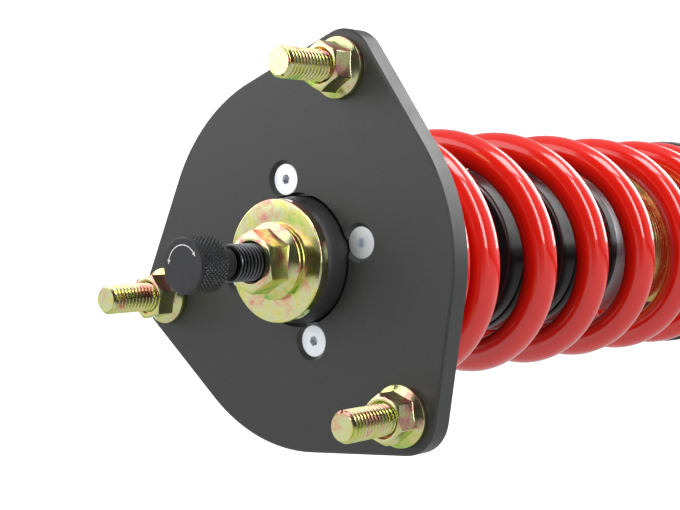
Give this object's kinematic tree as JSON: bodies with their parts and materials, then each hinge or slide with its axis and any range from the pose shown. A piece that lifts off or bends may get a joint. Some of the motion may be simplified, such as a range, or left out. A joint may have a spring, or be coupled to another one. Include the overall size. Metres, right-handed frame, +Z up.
{
  "type": "coilover strut",
  "caption": "Height-adjustable coilover strut with a studded top plate, coil spring, threaded damper body and bolted knuckle bracket.",
  "frame": {"origin": "centre of the top plate's upper face, where the damper's axis passes through it", "axes": "+Z runs up the damper's axis and out of the top plate, one stud lies towards -X, and the knuckle bracket reaches towards +X"},
  "size_m": [0.1445, 0.1358, 0.5187],
  "materials": {
    "plate_coat": "satin black powder coat",
    "yellow_zinc": "yellow passivated zinc plate",
    "bright_zinc": "bright zinc plate",
    "rubber": "moulded rubber",
    "black_oxide": "black oxide steel",
    "knob_anodise": "black anodised",
    "chrome_rod": "hard chrome",
    "steel": "machined steel",
    "spring_coat": "gloss red powder coat",
    "gold_anodise": "gold anodised",
    "grey_anodise": "gunmetal anodised",
    "dust_plastic": "gloss black moulded plastic",
    "nylon": "nylon",
    "ptfe": "bronze filled PTFE",
    "foam": "cellular urethane"
  },
  "bodies": {
    "top_mount": {"top_plate": "plate_coat", "mount_studs": "yellow_zinc", "mount_nuts": "yellow_zinc", "housing_screws": "bright_zinc", "bush_housing": "steel", "rubber_bush": "rubber", "bush_sleeve": "steel", "top_washer": "yellow_zinc", "rod_nut": "yellow_zinc", "lower_washer": "steel", "piston_rod": "chrome_rod", "bearing_upper_race": "steel", "dust_tube": "dust_plastic", "dust_tube_clamp": "steel", "bump_stop": "foam", "damper_piston": "grey_anodise", "piston_band": "ptfe", "piston_shims": "steel", "piston_nut": "steel", "rebound_stop": "nylon"},
    "knob": {"adjuster_knob": "knob_anodise", "knob_grub_screw": "black_oxide"},
    "needle": {"adjuster_needle": "steel"},
    "bearing": {"bearing_cage": "nylon", "bearing_rollers": "steel"},
    "upper_seat": {"bearing_lower_race": "steel", "upper_spring_seat": "plate_coat", "upper_spring_pad": "rubber", "coil_spring": "spring_coat"},
    "perch": {"lower_spring_pad": "rubber", "lower_spring_perch": "grey_anodise"},
    "perch_ring": {"perch_lock_ring": "grey_anodise"},
    "damper_body": {"damper_tube": "gold_anodise", "gland_nut": "grey_anodise", "wiper_seal": "rubber", "oil_seal": "rubber", "rod_guide": "steel", "base_cap": "gold_anodise", "gas_fill_screw": "steel"},
    "gas_piston": {"floating_piston": "grey_anodise", "floating_piston_seal": "rubber"},
    "bracket": {"bracket_sleeve": "plate_coat", "knuckle_plates": "plate_coat"},
    "bracket_ring": {"bracket_lock_ring": "grey_anodise"}
  },
  "joints": [
    {"name": "knob_turn", "type": "hinge", "parent": "top_mount", "child": "knob", "pos_m": [0, 0, 0.045], "axis": [0, 0, 1], "range_deg": [-270, 270]},
    {"name": "needle_travel", "type": "slide", "parent": "top_mount", "child": "needle", "axis": [0, 0, 1], "range_m": [-0.00075, 0.00075]},
    {"name": "steer", "type": "hinge", "parent": "top_mount", "child": "upper_seat", "pos_m": [0, 0, -0.0135], "axis": [0, 0, 1], "range_deg": [-40, 40]},
    {"name": "bearing_roll", "type": "hinge", "parent": "top_mount", "child": "bearing", "pos_m": [0, 0, -0.0135], "axis": [0, 0, 1], "range_deg": [-21, 21]},
    {"name": "stroke", "type": "slide", "parent": "upper_seat", "child": "perch", "axis": [0, 0, 1], "range_m": [0, 0.06], "stiffness_N_per_m": 60000, "deforming": ["coil_spring"]},
    {"name": "perch_height", "type": "slide", "parent": "perch", "child": "damper_body", "axis": [0, 0, 1], "range_m": [0, 0.02]},
    {"name": "perch_ring_wind", "type": "slide", "parent": "perch", "child": "perch_ring", "axis": [0, 0, 1], "range_m": [-0.008, 0]},
    {"name": "gas_piston_travel", "type": "slide", "parent": "damper_body", "child": "gas_piston", "axis": [0, 0, 1], "range_m": [-0.0106, 0.0001]},
    {"name": "bracket_height", "type": "slide", "parent": "damper_body", "child": "bracket", "axis": [0, 0, 1], "range_m": [-0.02, 0.02]},
    {"name": "bracket_ring_wind", "type": "slide", "parent": "bracket", "child": "bracket_ring", "axis": [0, 0, 1], "range_m": [0, 0.008]}
  ],
  "couplings": [
    {"joint": "knob_turn", "follows": "needle_travel", "rad_per_m": 6283.2},
    {"joint": "bearing_roll", "follows": "steer", "ratio": 0.5},
    {"joint": "gas_piston_travel", "follows": "stroke", "ratio": -0.1736}
  ]
}
